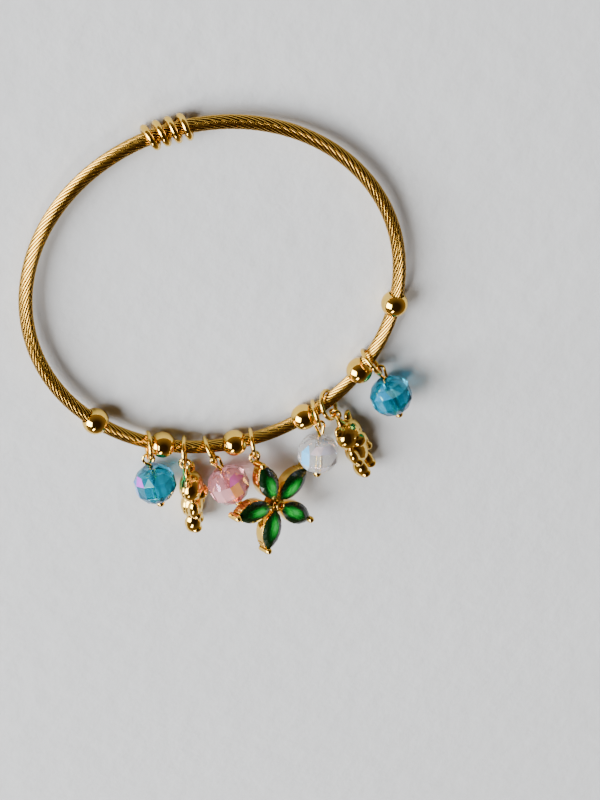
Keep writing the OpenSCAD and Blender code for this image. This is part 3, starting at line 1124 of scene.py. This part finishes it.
def prong():
    """A post with a round head at a petal's end."""
    top = bpy.context.scene.flower_sizes.depth / MM + PRONG_RISE
    r = PRONG_RADIUS
    post = [((0, 0, 0), r - PRONG_EASE), ((0, 0, PRONG_EASE), r), ((0, 0, top), r)]
    angles = [math.radians(88 * (i + 1) / 10) for i in range(10)]
    head = [((0, 0, top + r * math.sin(a)), r * math.cos(a)) for a in angles]
    bm = wire(post + head, 28, up=(1, 0, 0))
    bmesh.ops.translate(bm, vec=(prong_at(), 0, 0), verts=bm.verts)
    return bm


def rib(side, place):
    """A thin rib down the outside of a petal's wall, beside its prong."""
    depth = bpy.context.scene.flower_sizes.depth / MM
    at = marquise_edge(place)
    heights = (RIB_FREE, depth / 2, depth - RIB_FREE)
    path = [((at.x, at.y * side, z), RIB_RADIUS) for z in heights]
    return wire(round_ends(path), 12, up=(1, 0, 0))


def middle_cup():
    """The small cup in the middle of the flower, on its disc, with a rolled rim and a hollow."""
    depth = bpy.context.scene.flower_sizes.depth / MM
    top, floor = depth + CUP_RISE, depth + CUP_RISE - CUP_DEPTH
    mid, half = (CUP_RADIUS + CUP_BORE) / 2, (CUP_RADIUS - CUP_BORE) / 2
    rim = [math.radians(180 * i / 10) for i in range(11)]
    waist = CUP_RADIUS - 0.05
    disc = [
        (0.0, 0.02), (0.0, DISC_RADIUS - 0.08), (0.08, DISC_RADIUS), (depth - 0.1, DISC_RADIUS),
        (depth, DISC_RADIUS - 0.1), (depth, CUP_RADIUS + 0.04),
    ]
    cup = [(depth + 0.12, waist), (top - half - 0.2, waist)]
    cup += [(top - half + half * math.sin(a), mid + half * math.cos(a)) for a in rim]
    hollow = [(floor + 0.15, CUP_BORE), (floor, CUP_BORE - 0.2), (floor, 0.02)]
    bm = spun(disc + cup + hollow, 48)
    bmesh.ops.transform(bm, matrix=turn("Y", -90), verts=bm.verts)
    return bm


def flower_loop():
    r = FLOWER_LOOP_MIDDLE
    around = [math.radians(7.5 * i) for i in range(49)]
    ring = [((r * math.cos(a), r * math.sin(a), 0), FLOWER_LOOP_WIRE / 2) for a in around]
    bm = wire(ring, 16, closed_ends=False)
    bmesh.ops.remove_doubles(bm, verts=bm.verts, dist=1e-4)
    bmesh.ops.translate(bm, vec=flower_loop_at(), verts=bm.verts)
    return bm


class MakeSetting(bpy.types.Operator):
    """Cast the flower's setting: petal cups, prongs, middle cup and loop"""

    bl_idname = "bangle.setting"
    bl_label = "Flower Setting"

    def execute(self, context):
        bm = bmesh.new()
        for i in range(PETALS):
            cup, post = petal_cup(), prong()
            joined(cup, *(rib(side, place) for side in (1, -1) for place in RIB_PLACES))
            bmesh.ops.transform(cup, matrix=petal_place(i), verts=cup.verts)
            bmesh.ops.transform(post, matrix=turn("Z", PETAL_STEP * i), verts=post.verts)
            joined(bm, cup, post)
        joined(bm, middle_cup(), flower_loop())
        piece("cast_setting", bm, flower_place(), finish("cast_plating"), "flower_setting")
        return {"FINISHED"}


# --- stage ---


def lay_floor():
    bm = bmesh.new()
    bmesh.ops.create_grid(bm, x_segments=1, y_segments=1, size=FLOOR_HALF)
    mesh = bpy.data.meshes.new("floor")
    bm.to_mesh(mesh)
    bm.free()
    mesh.materials.append(finish("floor_paint"))
    floor = bpy.data.objects.new("floor", mesh)
    bpy.context.scene.collection.objects.link(floor)


def hang_light(name, at, size, power, colour):
    """A soft rectangular light that faces the middle of the bangle."""
    light = bpy.data.lights.new(name, "AREA")
    light.shape = "RECTANGLE"
    light.size, light.size_y = size
    light.energy = power
    light.color = colour
    lamp = bpy.data.objects.new(name, light)
    lamp.location = at
    lamp.rotation_euler = (Vector() - Vector(at)).to_track_quat("-Z", "Y").to_euler()
    bpy.context.scene.collection.objects.link(lamp)


def fill_room():
    """Faint warm light from all round, which the gold reflects as brown."""
    world = bpy.data.worlds.new("room")
    world.use_nodes = True
    nodes, links = world.node_tree.nodes, world.node_tree.links
    way = nodes.new("ShaderNodeSeparateXYZ")
    links.new(nodes.new("ShaderNodeTexCoord").outputs["Generated"], way.inputs["Vector"])
    walls = nodes.new("ShaderNodeValToRGB")
    for mark, (height, colour) in zip(walls.color_ramp.elements, ROOM):
        mark.position, mark.color = height, colour
    links.new(way.outputs["Z"], walls.inputs["Fac"])
    links.new(walls.outputs["Color"], nodes["Background"].inputs["Color"])
    bpy.context.scene.world = world


def set_camera():
    camera = bpy.data.cameras.new("camera")
    camera.lens = CAMERA_LENS
    camera.sensor_width = CAMERA_SENSOR
    camera.clip_start = CAMERA_NEAR
    holder = bpy.data.objects.new("camera", camera)
    up, back = -Vector(CAMERA_DOWN), -Vector(CAMERA_AHEAD)
    rows = [list(row) for row in zip(CAMERA_RIGHT, up, back, CAMERA_AT)]
    holder.matrix_world = Matrix(rows + [[0, 0, 0, 1]])
    bpy.context.scene.collection.objects.link(holder)
    bpy.context.scene.camera = holder


class SetStage(bpy.types.Operator):
    """Lay the pale surface and set the lights and the camera"""

    bl_idname = "bangle.stage"
    bl_label = "Studio"

    def execute(self, context):
        lay_floor()
        for name, row in LIGHTS.items():
            hang_light(name, *row)
        fill_room()
        set_camera()
        return {"FINISHED"}


MAKERS = (
    MakeCable, MakeWrap, MakeBalls, MakeRings, MakeCrystals, MakePins, MakeBears, MakeSetting,
    MakeStones, SetStage,
)
GROUPS = (
    ("bangle_sizes", BangleSizes), ("drop_sizes", DropSizes), ("flower_sizes", FlowerSizes),
    ("bangle_finishes", Finishes),
)


class BanglePanel(bpy.types.Panel):
    """Sizes, colours and pieces of the bangle"""

    bl_idname = "VIEW3D_PT_bangle"
    bl_label = "Charm Bangle"
    bl_space_type = "VIEW_3D"
    bl_region_type = "UI"
    bl_category = "Bangle"

    def draw(self, context):
        column = self.layout.column()
        for name, group in GROUPS:
            box = column.box()
            for prop in group.__annotations__:
                box.prop(getattr(context.scene, name), prop)
        for maker in MAKERS:
            column.operator(maker.bl_idname)


def register():
    for name, group in GROUPS:
        bpy.utils.register_class(group)
        setattr(bpy.types.Scene, name, PointerProperty(type=group))
    for cls in (*MAKERS, BanglePanel):
        bpy.utils.register_class(cls)


def unregister():
    for cls in (BanglePanel, *reversed(MAKERS)):
        bpy.utils.unregister_class(cls)
    for name, group in reversed(GROUPS):
        delattr(bpy.types.Scene, name)
        bpy.utils.unregister_class(group)


def main():
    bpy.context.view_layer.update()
    register()
    for maker in MAKERS:
        group, name = maker.bl_idname.split(".")
        getattr(getattr(bpy.ops, group), name)()


if __name__ == "__main__":
    main()
